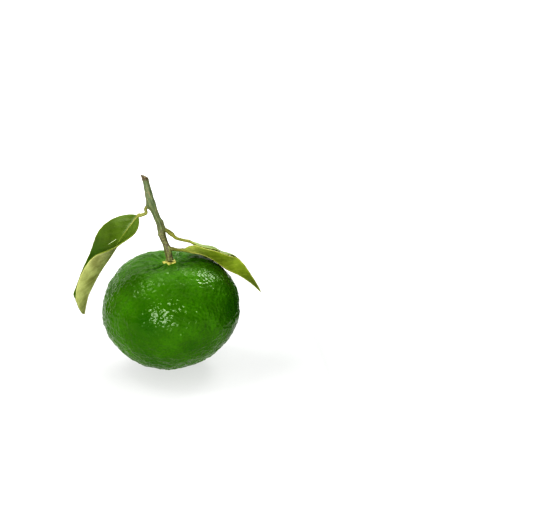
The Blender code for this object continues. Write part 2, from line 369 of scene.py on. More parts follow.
@dataclass(frozen=True)
class PeelFinish:
    """Citrus peel under its own wax: mottled greens, darker glands, painted shade in the furrows and
    painted light towards the top.
    """

    deep: str = "2e5802"
    middle: str = "3a6102"
    # The lightest green, reached by blotches and by the painted light towards the top.
    fresh: str = "487605"
    gland: str = "2c5a03"
    furrow: str = "173d02"
    scar: str = "7a6a38"
    # Real sizes of blotches, wax, oil glands and the grain between them, in millimetres.
    blotch_size: float = 13.0
    wax_size: float = 4.0
    gland_size: float = 1.15
    grain_size: float = 0.45
    roughness: float = 0.17

    def make(self) -> Material:
        """Build the peel, lighter at its top with painted light, and calmer round the stalk.

        Returns:
            The material.
        """
        # Wax over oil glands: a deep green with a satin gloss that breaks into small glints.
        material, add, shader = new_material("waxed_citrus_peel")
        here = add("TexCoord", output="Object")
        blotch = add("TexNoise", here, Scale=per_mm(self.blotch_size), Detail=3.0, Roughness=0.55)
        height = add("SeparateXYZ", here, output="Z")
        # Painted light: the green is lifted towards the top, standing in for more light on the upper
        # slope.
        painted_top_light = add("MapRange", height, 0.03, 0.048, 0.0, 0.2)
        blotch_and_top_light = add("Math", blotch, painted_top_light, operation="ADD")
        greens = ((0.3, self.deep), (0.5, self.middle), (0.85, self.fresh))
        colour = add("ValToRGB", blotch_and_top_light, stops=greens)
        glands = add("TexVoronoi", here, feature="SMOOTH_F1", Scale=per_mm(self.gland_size),
                     Smoothness=0.4, Randomness=0.9)
        spots = add("MapRange", glands, 0.15, 0.5, 0.45, 0.0)
        # Painted shade: the creases and furrows round the stalk are darkened in the colour.
        crease_shading = add("Attribute", attribute_name="furrow", output="Fac")
        scars = add("Attribute", attribute_name="scar", output="Fac")
        for mask, code in ((spots, self.gland), (crease_shading, self.furrow), (scars, self.scar)):
            colour = add("Mix", mask, colour, srgb(code), **COLOURS)
        calm = add("Attribute", attribute_name="calm", output="Fac")
        wax = add("TexNoise", here, Scale=per_mm(self.wax_size), Detail=2.0)
        gloss = add("MapRange", wax, 0.3, 0.7, self.roughness - 0.05, self.roughness + 0.07)
        duller = add("Math", calm, 0.32, gloss, operation="MULTIPLY_ADD")
        grain = add("TexNoise", here, Scale=per_mm(self.grain_size), Detail=2.0)
        rough = add("Math", grain, 0.35, glands, operation="MULTIPLY_ADD")
        kept = add("MapRange", calm, 0.0, 1.0, 1.0, 0.4)
        relief = add("Math", rough, kept, operation="MULTIPLY")
        bump = add("Bump", invert=True, Strength=0.7, Distance=0.12 * MM, Height=relief)
        feed(shader, {
            "Base Color": colour, "Roughness": duller, "Normal": bump, "IOR": 1.45,
            "Specular IOR Level": 0.24})
        return material


@dataclass(frozen=True)
class BarkFinish:
    """Young citrus bark: matt olive green with dry tan streaks and pale pores."""

    green: str = "5f6d49"
    olive: str = "4b563a"
    tan: str = "786f53"
    dry_bark_and_leaf_streak: str = "544633"
    woody: str = "685f45"
    fleck: str = "7a7f4a"
    pore: str = "a89f74"
    streak_size: float = 0.5
    fleck_size: float = 1.1
    pore_size: float = 0.9
    # Running lengths between which the old wood at the foot fades, and the tip dries.
    foot_end: Pair = (9.0, 20.0)
    tip_start: Pair = (35.3, 36.4)

    def make(self) -> Material:
        """Build the bark: streaks that run lengthwise, a woody foot and a dried tip.

        Returns:
            The material.
        """
        # Thin bark without wax, partly dried: hardly any gloss, and fine lengthwise wrinkles.
        material, add, shader = new_material("young_citrus_bark")
        here = add("TexCoord", output="Object")
        grain = add("Attribute", attribute_name="grain", output="Vector")
        along = add("Attribute", attribute_name="along", output="Fac")
        streaks = add("TexNoise", grain, Scale=1 / self.streak_size, Detail=4.0, Roughness=0.6)
        young = ((0.34, self.olive), (0.5, self.green), (0.68, self.tan))
        colour = add("ValToRGB", streaks, stops=young)
        flecks = add("TexNoise", here, Scale=per_mm(self.fleck_size), Detail=3.0, Roughness=0.65)
        old = ((0.38, self.dry_bark_and_leaf_streak), (0.48, self.woody), (0.58, self.fleck))
        woody = add("ValToRGB", flecks, stops=old)
        foot = add("MapRange", along, *self.foot_end, 0.75, 0.0)
        tip = add("MapRange", along, *self.tip_start, 0.0, 0.9)
        cells = add("TexVoronoi", here, Scale=per_mm(self.pore_size))
        pores = add("MapRange", cells, 0.1, 0.24, 0.55, 0.0)
        for mask, over in ((foot, woody), (tip, srgb(self.dry_bark_and_leaf_streak)), (pores, srgb(self.pore))):
            colour = add("Mix", mask, colour, over, **COLOURS)
        bump = add("Bump", Strength=0.8, Distance=0.15 * MM, Height=streaks)
        feed(shader, {"Base Color": colour, "Normal": bump, "Roughness": 0.62})
        return material


@dataclass(frozen=True)
class CutWoodFinish:
    """Cut and dried end grain: pale tan wood round a darker pith."""

    wood: str = "8d8668"
    pith: str = "5c5540"
    ray_size: float = 0.35

    def make(self) -> Material:
        """Build the cut.

        Returns:
            The material.
        """
        # Open, dried pores of end grain: no gloss at all, and a fine speckle of wood and pith.
        material, add, shader = new_material("cut_end_grain")
        here = add("TexCoord", output="Object")
        rays = add("TexNoise", here, Scale=per_mm(self.ray_size), Detail=3.0)
        colour = add("ValToRGB", rays, stops=((0.3, self.pith), (0.6, self.wood)))
        feed(shader, {"Base Color": colour, "Roughness": 0.85})
        return material


@dataclass(frozen=True)
class CalyxFinish:
    """Half-dried calyx: leathery yellow green that turns tan and brown at its lobes."""

    green: str = "788236"
    tan: str = "afaa61"
    brown: str = "544426"
    fleck_size: float = 1.0

    def make(self) -> Material:
        """Build the calyx: green at the middle, tan lobes, brown flecks.

        Returns:
            The material.
        """
        # Sepals drying from their rims inwards: leathery, dull, and flecked rather than even.
        material, add, shader = new_material("half_dried_calyx")
        here = add("TexCoord", output="Object")
        flecks = add("TexNoise", here, Scale=per_mm(self.fleck_size), Detail=4.0, Roughness=0.7)
        share = add("Attribute", attribute_name="share", output="Fac")
        drying = add("Math", share, 0.45, flecks, operation="MULTIPLY_ADD")
        shades = ((0.4, self.brown), (0.58, self.green), (0.85, self.tan))
        colour = add("ValToRGB", drying, stops=shades)
        bump = add("Bump", Strength=0.6, Distance=0.1 * MM, Height=flecks)
        feed(shader, {"Base Color": colour, "Normal": bump, "Roughness": 0.6})
        return material


@dataclass(frozen=True)
class LeafFinish:
    """One face of a citrus leaf: a smooth cuticle over side veins and a fine net."""

    name: str
    near: str
    middle: str
    far: str
    far_at: float
    vein: str
    midrib: str
    edge: str
    roughness: float
    vein_show: float
    vein_bump: float
    blotch: str = "d9dbd0"
    # Colour of the dried bark, and on a leaf the colour of the pale near-white streak.
    dry_bark_and_leaf_streak: str = "dfe5cf"
    # Real sizes of the net, the patches and the veins' wobble, how far the veins wobble, and the length
    # over which the colour shifts from base to tip, in millimetres.
    net_size: float = 0.9
    patch_size: float = 7.0
    wobble_size: float = 6.25
    wobble_reach: float = 3.0
    base_to_tip_length: float = 45.0
    # Distances between which the midrib and a side vein fade out.
    rib_edge: Pair = (0.15, 0.55)
    vein_edge: Pair = (0.04, 0.42)
    # Middle of a pale, near-white streak in the leaf's own millimetres, its turn in degrees and half its
    # length.
    pale_streak: Row | None = None

    def make(self) -> Material:
        """Build the face from the attribute leaf_place: length, distance and share of half-width.

        Returns:
            The material.
        """
        material, add, shader = new_material(self.name)
        place = add("Attribute", attribute_name="leaf_place", output="Vector")
        parts = add("SeparateXYZ", place).node.outputs
        off = add("Math", parts["Y"], operation="ABSOLUTE")
        lines = self.veins(add, place, off)
        patches = add("TexNoise", place, Scale=1 / self.patch_size, Detail=4.0, Roughness=0.6)
        spread = add("Math", patches, 0.3, -0.15, operation="MULTIPLY_ADD")
        # The colour shifts from near to far along the leaf; on the dark upper face the darker far end is
        # painted shade.
        outwards = add("Math", parts["X"], 1 / self.base_to_tip_length, spread, operation="MULTIPLY_ADD")
        base_to_tip_stops = ((0.08, self.near), (0.26, self.middle), (self.far_at - 0.2, self.middle),
                (self.far_at, self.far))
        base_to_tip = add("ValToRGB", outwards, stops=base_to_tip_stops)
        shades = add("ValToRGB", patches, stops=((0.36, self.blotch), (0.62, "ffffff")))
        colour = add("Mix", 1.0, base_to_tip, shades, blend_type="MULTIPLY", **COLOURS)
        shown = add("Math", lines, self.vein_show, operation="MULTIPLY")
        rib = add("MapRange", off, *self.rib_edge, 0.8, 0.0, interpolation_type="SMOOTHSTEP")
        rim = add("MapRange", parts["Z"], 0.95, 1.0, 0.0, 0.6)
        layers = [(shown, self.vein), (rib, self.midrib), (rim, self.edge)]
        if self.pale_streak:
            layers.append((self.pale_streak_mask(add, place), self.dry_bark_and_leaf_streak))
        for mask, code in layers:
            colour = add("Mix", mask, colour, srgb(code), **COLOURS)
        bump = add("Bump", Strength=self.vein_bump, Distance=0.15 * MM, Height=lines)
        gloss = add("MapRange", patches, 0.3, 0.7, self.roughness - 0.06, self.roughness + 0.08)
        feed(shader, {
            "Base Color": colour, "Roughness": gloss, "Normal": bump, "IOR": 1.42,
            "Specular IOR Level": 0.38})
        return material

    def veins(self, add: Adder, place: Socket, off: Socket) -> Socket:
        """Draw the side veins, which fade towards the rim, and the net between them.

        Args:
            add: Adds a node to the material.
            place: The leaf's own place at the shaded point.
            off: Distance from the midrib there.

        Returns:
            How much of a vein there is, from 0 to 1.
        """
        parts = add("SeparateXYZ", place).node.outputs
        wobble = add("TexNoise", place, Scale=1 / self.wobble_size, Detail=2.0)
        bowed = add("Math", off, VEIN_BOW, VEIN_SLANT, operation="MULTIPLY_ADD")
        drawn = add("Math", off, bowed, operation="MULTIPLY")
        start = add("Math", parts["X"], drawn, operation="SUBTRACT")
        shaken = add("Math", wobble, self.wobble_reach, start, operation="MULTIPLY_ADD")
        side = add("Math", parts["Y"], operation="SIGN")
        shifted = add("Math", side, VEIN_SHIFT, shaken, operation="MULTIPLY_ADD")
        phase = add("Math", shifted, VEIN_SPACING / 2, operation="PINGPONG")
        line = add("MapRange", phase, *self.vein_edge, 1.0, 0.0, interpolation_type="SMOOTHSTEP")
        fade = add("MapRange", parts["Z"], 0.55, 1.0, 1.0, 0.15)
        sides = add("Math", line, fade, operation="MULTIPLY")
        cells = add("TexVoronoi", place, feature="DISTANCE_TO_EDGE", Scale=1 / self.net_size)
        net = add("MapRange", cells, 0.0, 0.12, 0.35, 0.0)
        return add("Math", sides, net, operation="MAXIMUM")

    def pale_streak_mask(self, add: Adder, place: Socket) -> Socket:
        """Mask of the pale streak.

        Args:
            add: Adds a node to the material.
            place: The leaf's own place at the shaded point.

        Returns:
            How much of the scratch there is, from 0 to 1.
        """
        x, y, turn, half = self.pale_streak
        rotation = (0.0, 0.0, math.radians(turn))
        local = add("Mapping", place, (x, y, 0.0), rotation, vector_type="TEXTURE")
        parts = add("SeparateXYZ", local).node.outputs
        shares = []
        for axis, hard, soft in (("X", half - 1.2, half), ("Y", 0.03, 0.12)):
            away = add("Math", parts[axis], operation="ABSOLUTE")
            shares.append(add("MapRange", away, hard, soft, 1.0, 0.0))
        return add("Math", shares[0], shares[1], operation="MULTIPLY")


@dataclass(frozen=True)
class PetioleFinish:
    """Green leaf stalk: a smooth yellow-green skin with faint lengthwise streaks."""

    green: str = "777b37"
    yellow: str = "92914f"
    brown: str = "56571f"
    streak_size: float = 0.45
    # Running lengths between which the brown heel fades.
    heel_end: Pair = (1.6, 5.5)

    def make(self) -> Material:
        """Build the petiole, browner where it leaves the twig.

        Returns:
            The material.
        """
        # Smooth skin with little wax: a soft sheen, paler than leaf and bark.
        material, add, shader = new_material("green_petiole_skin")
        grain = add("Attribute", attribute_name="grain", output="Vector")
        along = add("Attribute", attribute_name="along", output="Fac")
        streaks = add("TexNoise", grain, Scale=1 / self.streak_size, Detail=3.0)
        skin = add("ValToRGB", streaks, stops=((0.35, self.green), (0.65, self.yellow)))
        heel = add("MapRange", along, *self.heel_end, 0.75, 0.0)
        colour = add("Mix", heel, skin, srgb(self.brown), **COLOURS)
        bump = add("Bump", Strength=0.5, Distance=0.08 * MM, Height=streaks)
        feed(shader, {"Base Color": colour, "Normal": bump, "Roughness": 0.5})
        return material


@dataclass(frozen=True)
class FloorFinish:
    """Frosted acrylic table that is lit from below."""

    base: str = "818181"
    glow: Pair = (0.39, 0.62)
    # Painted shade: within this reach of the middle the glow is turned down, round the fruit.
    painted_shade_reach: Pair = (0.0, 0.28)

    def make(self) -> Material:
        """Build the floor, its glow turned down at its middle as painted shade round the fruit.

        Returns:
            The material.
        """
        # Light through a frosted sheet: white, with a soft pale shadow, and painted shade where the glow
        # is turned down near the middle.
        material, add, shader = new_material("lit_frosted_acrylic")
        here = add("TexCoord", output="Object")
        away = add("VectorMath", here, operation="LENGTH", output="Value")
        glow = add("MapRange", away, *self.painted_shade_reach, *self.glow)
        feed(shader, {
            "Base Color": srgb(self.base), "Emission Color": srgb("ffffff"),
            "Emission Strength": glow, "Roughness": 0.9, "Specular IOR Level": 0.1})
        return material


@dataclass(frozen=True)
class CardFinish:
    """Dyed card that stands beside the fruit."""

    green: str = "24601a"

    def make(self) -> Material:
        """Build the card.

        Returns:
            The material.
        """
        # Uncoated dyed paper: dark and matt, so it takes light away and throws no glint.
        material, add, shader = new_material("dark_green_card")
        feed(shader, {"Base Color": srgb(self.green), "Roughness": 0.9})
        return material


# A grown leaf's cuticle: thick, dark and satin, so that its veins hardly show. Its darker tip is painted
# shade.
DARK_UPPER = LeafFinish(
    name="dark_leaf_cuticle", near="5a7023", middle="556b1d", far="415d06", far_at=0.55,
    vein="738238", midrib="6d7d36", edge="7b8231", roughness=0.36, vein_show=0.1, vein_bump=0.2,
    pale_streak=(15.4, 2.67, 27.0, 2.8),
)
# Its underside, without wax: matt grey green, mottled, with pale raised veins.
PALE_UNDER = LeafFinish(
    name="pale_leaf_underside", near="a8a97f", middle="a6aa78", far="aeb47a", far_at=0.7,
    vein="bfbc92", midrib="c2bd8e", edge="b6b47c", roughness=0.6, vein_show=0.3, vein_bump=0.5,
    blotch="cac8b6",
)
# A young leaf's cuticle: thin and soft, so it is light, yellow green and fairly glossy.
FRESH_UPPER = LeafFinish(
    name="fresh_leaf_cuticle", near="98aa58", middle="768d29", far="546a16", far_at=0.8,
    vein="8e984c", midrib="969b50", edge="999850", roughness=0.4, vein_show=0.25, vein_bump=0.25,
)
# Its underside: a shade paler and duller, with veins that stand out more.
FRESH_UNDER = LeafFinish(
    name="fresh_leaf_underside", near="a4ac62", middle="7d8d30", far="5c6b1c", far_at=0.8,
    vein="969d56", midrib="a2a45c", edge="a8a45c", roughness=0.5, vein_show=0.3, vein_bump=0.4,
)


@dataclass
class Peel:
    """The fruit's skin: the source's globe with its dents, dressed with pebbles and creases."""

    radius: float = 29.8
    top_height: float = 24.1
    foot_height: float = 27.4
    top_roundness: float = 2.2
    foot_roundness: float = 1.8
    hollow_depth: float = 3.2
    hollow_width: float = 11.9
    lean_forward: float = 6.0
    lean_right: float = 1.5
    seat: float = -26.708
    press_depth: float = 0.6
    press_spread: float = 2.0
    cuts: int = 127
    # Soft dents: turn from the front, height angle, width angle, depth.
    dents: tuple[Row, ...] = (
        (-75, -38, 35, -0.4), (75, -30, 35, -0.2), (50, -64, 18, 0.8),
        (-70, 30, 28, 2.7), (60, 48, 26, -0.8), (85, 0, 30, -0.3),
        (-10, -75, 30, 0.2),
    )
    furrows: int = 11
    furrow_depth: float = 0.5
    furrow_from: float = 6.5
    furrow_width: float = 5.0
    # How far the furrows sway, and how they turn on their way outwards, in radians.
    furrow_sway: float = 1.6
    furrow_twist: float = 0.12
    # Fine creases between the furrows: their depth, and how far out they are full, deepest and gone.
    crease_depth: float = 0.45
    crease_full: float = 6.0
    crease_from: float = 8.0
    crease_width: float = 5.5
    crease_end: float = 22.0
    # How far they sway and wander, in radians, and over what sizes.
    crease_sway: float = 5.0
    crease_wander: float = 2.5
    sway_size: float = 6.0
    wander_size: float = 5.0
    # How strong the painted shade is in a crease and in a furrow.
    crease_shade_strength: float = 0.5
    furrow_shade_strength: float = 0.2
    lump_size: float = 7.0
    lump_depth: float = 0.3
    pebble_size: float = 3.6
    pebble_depth: float = 0.3
    bump_size: float = 1.21875
    bump_depth: float = 0.28
    pit_size: float = 1.25
    pit_depth: float = 0.1
    # The calmer skin round the stalk: its reach, how much of bumps and pits it loses, its waves.
    calm_reach: float = 17.0
    calm_share: float = 0.65
    wave_size: float = 2.4
    wave_depth: float = 0.55
    scar_width: float = 1.6
    scar_dip: float = 0.02
    finish: PeelFinish = PeelFinish()

    def form(self, directions: Array) -> tuple[Array, Array, Array]:
        """Shape unit directions into the upright fruit, as the source does.

        Args:
            directions: Unit vectors from the fruit's middle, one a row.

        Returns:
            The points, the outward directions and how deep in a furrow each point is.
        """
        sine = np.hypot(directions[:, 0], directions[:, 1])
        cosine = directions[:, 2]
        top = cosine > 0
        roundness = np.where(top, self.top_roundness, self.foot_roundness)
        height = np.where(top, self.top_height, self.foot_height)
        rho = self.radius * sine ** (2 / roundness)
        rise = height * np.sign(cosine) * np.abs(cosine) ** (2 / roundness)
        turn = np.arctan2(directions[:, 0], -directions[:, 1])
        rise = rise - top * self.hollow_depth * np.exp(-(rho / self.hollow_width) ** 2)
        sway = self.furrow_sway * np.sin(2 * turn + 0.5)
        swirl = self.furrows * turn + sway + self.furrow_twist * rho
        near = np.exp(-((rho - self.furrow_from) / self.furrow_width) ** 2)
        valley = top * (near * np.minimum(1.0, rho / self.furrow_from)) * (0.5 + 0.5 * np.cos(swirl)) ** 2
        rise = rise - self.furrow_depth * valley
        points = np.stack([rho * np.sin(turn), -rho * np.cos(turn), rise], axis=1)
        outward = unit(points)
        scale = np.ones(len(points))
        for azimuth, elevation, width, depth in self.dents:
            middle = np.array(heading(azimuth, elevation))
            away = np.degrees(np.arccos(np.clip(outward @ middle, -1, 1)))
            scale -= depth / self.radius * np.exp(-(away / width) ** 2)
        return points * scale[:, None], outward, valley

    def relief(self, points: Array, valley: Array, calm: Array) -> tuple[Array, Array]:
        """Height of the skin's small forms over the plain globe.

        Args:
            points: Points of the plain globe.
            valley: How deep in a furrow each point is, from 0 to 1.
            calm: Share of the smoother skin round the stalk, from 0 to 1.

        Returns:
            The heights in millimetres, and the painted shade of the creases and furrows, from 0 to 1.
        """
        heights = np.empty(len(points))
        crease_shading = np.empty(len(points))
        for index, spot in enumerate(points):
            place = Vector(spot)
            wander = noise.noise(place / self.wander_size)
            soft = (self.lump_depth * noise.noise(place / self.lump_size)
                    + self.pebble_depth * noise.noise(place / self.pebble_size))
            bump = self.bump_depth * noise.noise(place / self.bump_size + BUMP_START)
            wave = self.wave_depth * calm[index] * noise.noise(place / self.wave_size)
            gaps = noise.voronoi(place / self.pit_size)[0]
            pit = self.pit_depth * (gaps[1] - gaps[0])
            radius = math.hypot(place.x, place.y)
            fine = 0.0
            if place.z > 0 and radius < self.crease_end:
                turn = math.atan2(place.x, -place.y)
                sway = self.crease_sway * noise.noise(place / self.sway_size)
                ray = self.furrows * turn + sway + self.crease_wander * wander
                near = math.exp(-((radius - self.crease_from) / self.crease_width) ** 2)
                reach = near * min(1.0, radius / self.crease_full)
                fine = reach * max(0.0, math.cos(ray)) ** 3 * (0.6 + 0.8 * max(0.0, wander + 0.2))
            heights[index] = (soft + wave + (bump + pit) * (1 - self.calm_share * calm[index])
                              - self.crease_depth * fine)
            # Painted shade for the creases and furrows, kept as a vertex attribute.
            crease_shading[index] = min(1.0, self.crease_shade_strength * fine + self.furrow_shade_strength * valley[index])
        return heights, crease_shading

    def build(self) -> BMesh:
        """Grid a cube, round it off, give it the fruit's form and skin, and lean and seat it.

        Returns:
            The peel's mesh in millimetres.
        """
        bm = bmesh.new()
        layers = [bm.verts.layers.float.new(name) for name in ("furrow", "calm", "scar")]
        bmesh.ops.create_cube(bm, size=2.0)
        bmesh.ops.subdivide_edges(bm, edges=bm.edges[:], cuts=self.cuts, use_grid_fill=True)
        cube = np.array([vert.co for vert in bm.verts])
        points, outward, valley = self.form(unit(np.tan(cube * math.pi / 4)))
        axis = np.hypot(points[:, 0], points[:, 1])
        calm = np.where(points[:, 2] > 0, np.exp(-(axis / self.calm_reach) ** 4), 0.0)
        heights, crease_shading = self.relief(points, valley, calm)
        points = points + outward * heights[:, None]
        axis = np.hypot(points[:, 0], points[:, 1])
        scar = np.where(points[:, 2] < 0, np.exp(-(axis / self.scar_width) ** 2), 0.0)
        points = points * (1 - self.scar_dip * scar)[:, None]
        lean = (Matrix.Rotation(math.radians(self.lean_right), 3, "Y")
                @ Matrix.Rotation(math.radians(self.lean_forward), 3, "X"))
        points = points @ np.array(lean).T
        above = points[:, 2] - self.seat
        pressed = self.press_depth * np.exp(-np.maximum(above, 0.0) / self.press_spread)
        points[:, 2] = np.maximum(0.0, above - pressed)
        for vert, spot, *marks in zip(bm.verts, points, crease_shading, calm, scar):
            vert.co = spot
            for layer, mark in zip(layers, marks):
                vert[layer] = mark
        return bm

    def dress(self, bm: BMesh) -> bpy.types.Object:
        """Put the peel in the scene in place of the CAD fruit."""
        return put_in_scene("peel", bm, [self.finish.make()], Slot.RIND, "fruit")


@dataclass
class Calyx:
    """Five-lobed star that lies in the fruit's hollow."""

    x: float = 0.6
    y: float = -2.2
    radius: float = 2.95
    waist: float = 2.0
    lobes: int = 5
    turn: float = 18.0
    thick: float = 0.75
    lift: float = 0.35
    sunk: float = 0.25
    # How ragged the rim is, the grooves between the lobes, and the fine ribs along them.
    ragged: float = 0.05
    groove_depth: float = 0.12
    ribs: int = 15
    rib_depth: float = 0.05
    spokes: int = 100
    rings: int = 14
    finish: CalyxFinish = CalyxFinish()

    def build(self, peel: BMesh) -> BMesh:
        """Extrude a circle inwards to its middle and lay it on the peel.

        Args:
            peel: The peel's mesh, in millimetres.

        Returns:
            The calyx's upper skin, with its rim turned down to the peel.
        """
        tree = BVHTree.FromBMesh(peel)
        bm = bmesh.new()
        share_of = bm.verts.layers.float.new("share")
        loop = bmesh.ops.create_circle(bm, cap_ends=False, segments=self.spokes, radius=1.0)["verts"]
        edges = bm.edges[:]
        shares = [1.0, 1.0] + [1 - step / self.rings for step in range(1, self.rings)]
        for ring, share in enumerate(shares):
            if ring:
                loop, edges = extrude_ring(bm, edges)
            middle = Vector((self.x, self.y, 0.0)) if ring else Vector()
            for vert in loop:
                flat = vert.co - middle
                vert.co = self.spot(tree, math.atan2(flat.x, -flat.y), share, ring == 0)
                vert[share_of] = share
        bmesh.ops.holes_fill(bm, edges=edges, sides=0)
        return bm

    def spot(self, tree: BVHTree, angle: float, share: float, at_skin: bool) -> Vector:
        """Place of a point of the calyx.

        Args:
            tree: The peel, for its height.
            angle: Turn round the calyx from the front, in radians.
            share: Share of the way from the middle to the rim.
            at_skin: Whether the point is sunk into the peel.

        Returns:
            The point in millimetres.
        """
        lobe = 0.5 + 0.5 * math.cos(self.lobes * angle + math.radians(self.turn))
        rim = 1 + self.ragged * noise.noise(ring_point(3, angle, 0.4))
        radius = share * (self.waist + (self.radius - self.waist) * lobe**0.8) * rim
        x = self.x + radius * math.sin(angle)
        y = self.y - radius * math.cos(angle)
        skin = tree.ray_cast(Vector((x, y, 200.0)), Vector((0, 0, -1)))[0].z
        if at_skin:
            return Vector((x, y, skin - self.sunk))
        groove = self.groove_depth * (1 - lobe) * share
        groove += self.rib_depth * math.cos(self.ribs * angle) * share * (1 - share)
        rise = self.thick * (1 - 0.4 * share**2) + self.lift * lobe * share**3 - groove
        return Vector((x, y, skin + rise))

    def dress(self, bm: BMesh) -> bpy.types.Object:
        """Put the calyx in the scene in place of its CAD node."""
        bmesh.ops.recalc_face_normals(bm, faces=bm.faces[:])
        return put_in_scene("sepals", bm, [self.finish.make()], Slot.CALYX, "calyx")


@dataclass
class Twig:
    """Knotty woody stalk with heels under its leaves and a slanting cut."""

    # Stations: point and radius.
    rows: tuple[Row, ...] = (
        (0.6, -2.2, 48.6, 1.55), (0.4, -2.2, 50.8, 1.42), (-0.1, -2.2, 53.3, 1.5),
        (-0.8, -2.2, 55.5, 1.25), (-1.7, -2.2, 57.9, 1.34), (-2.3, -2.2, 60.1, 1.5),
        (-2.65, -2.1, 62.4, 1.62), (-3.0, -2.1, 64.4, 1.5), (-3.85, -2.0, 66.5, 1.34),
        (-4.6, -2.0, 68.4, 1.36), (-5.35, -2.0, 70.6, 1.52), (-6.3, -2.0, 72.8, 1.95),
        (-6.8, -2.0, 74.9, 1.68), (-7.4, -2.0, 77.8, 1.5), (-8.0, -2.0, 81.0, 1.32),
        (-8.5, -2.0, 83.5, 1.3), (-8.8, -2.0, 84.7, 1.25), (-9.35, -2.0, 86.9, 1.25),
    )
    cut_at: Spot = (-8.8, -2.0, 84.7)
    cut_slant: float = 34.0
    # Ring that gives the direction of the twig at the cut.
    cut_ring: int = -20
    rim_width: float = 0.22
    rim_depth: float = 0.08
    # Heels where the leaves spring: height, turn from the front, swelling, length along the twig.
    heels: tuple[Row, ...] = (
        (72.5, -90, 0.4, 0.7),
        (65.0, 80, 0.25, 0.9),
        (62.0, 80, 0.25, 1.2),
        (60.0, -90, 0.35, 0.7),
        (53.8, 80, 0.25, 1.0),
    )
    rings: int = 190
    sides: int = 44
    ribs: int = 5
    rib_depth: float = 0.06
    rib_twist: float = 0.3
    # Wrinkles and swells of the bark: depth, how fast they change round it, and along it.
    wrinkles: tuple[Row, ...] = ((0.09, 2.86, 0.455), (0.1, 0.9, 0.6))
    # How fast the streaks of the grain change round it, and along it.
    grain: Pair = (1.5, 0.14)
    bark: BarkFinish = BarkFinish()
    wood: CutWoodFinish = CutWoodFinish()

    def build(self) -> BMesh:
        """Extrude the twig along its line, rib and wrinkle it, and cut its top off at a slant.

        Returns:
            The twig's mesh in millimetres.
        """
        samples, lengths = curve_through(self.rows)
        wanted = np.linspace(0, lengths[-1], self.rings)
        rows = take(samples, lengths, wanted)
        tangents, normals, sides = axis_frames(rows[:, :3], np.zeros(len(rows)))

        def place(ring: int, turn: float) -> Vector:
            """Place a vertex of the bark.

            Args:
                ring: Its ring, counted from the foot.
                turn: Its turn round the twig, in radians.

            Returns:
                Its spot, in millimetres.
            """
            point, length = Vector(rows[ring, :3]), wanted[ring]
            rib = self.rib_depth * math.cos(self.ribs * turn + self.rib_twist * length)
            reach = rows[ring, 3] * (1 + rib)
            for height, facing, swelling, spread in self.heels:
                towards = max(0.0, math.cos(turn - math.radians(facing)))
                reach += swelling * towards**2 * math.exp(-((point.z - height) / spread) ** 2)
            for depth, round_it, along_it in self.wrinkles:
                reach += depth * noise.noise(ring_point(round_it, turn, along_it * length))
            way = Vector(normals[ring]) * math.cos(turn) + Vector(sides[ring]) * math.sin(turn)
            return point + way * float(reach)

        bm = bmesh.new()
        sweep(bm, self.sides, wanted, place, self.grain)
        slant = Vector(tangents[self.cut_ring]) + Vector((math.tan(math.radians(self.cut_slant)), 0, 0))
        bmesh.ops.bisect_plane(bm, geom=bm.verts[:] + bm.edges[:] + bm.faces[:], plane_co=self.cut_at,
                               plane_no=slant.normalized(), clear_outer=True)
        rim = [edge for edge in bm.edges if edge.is_boundary]
        made = bmesh.ops.holes_fill(bm, edges=rim, sides=0)["faces"]
        bmesh.ops.inset_region(bm, faces=made, thickness=self.rim_width, depth=-self.rim_depth)
        for face in made:
            face.material_index = 1
        return bm

    def dress(self, bm: BMesh) -> bpy.types.Object:
        """Put the twig in the scene in place of the CAD stem."""
        bmesh.ops.recalc_face_normals(bm, faces=bm.faces[:])
        return put_in_scene("twig", bm, [self.bark.make(), self.wood.make()], Slot.BARK, "stem")


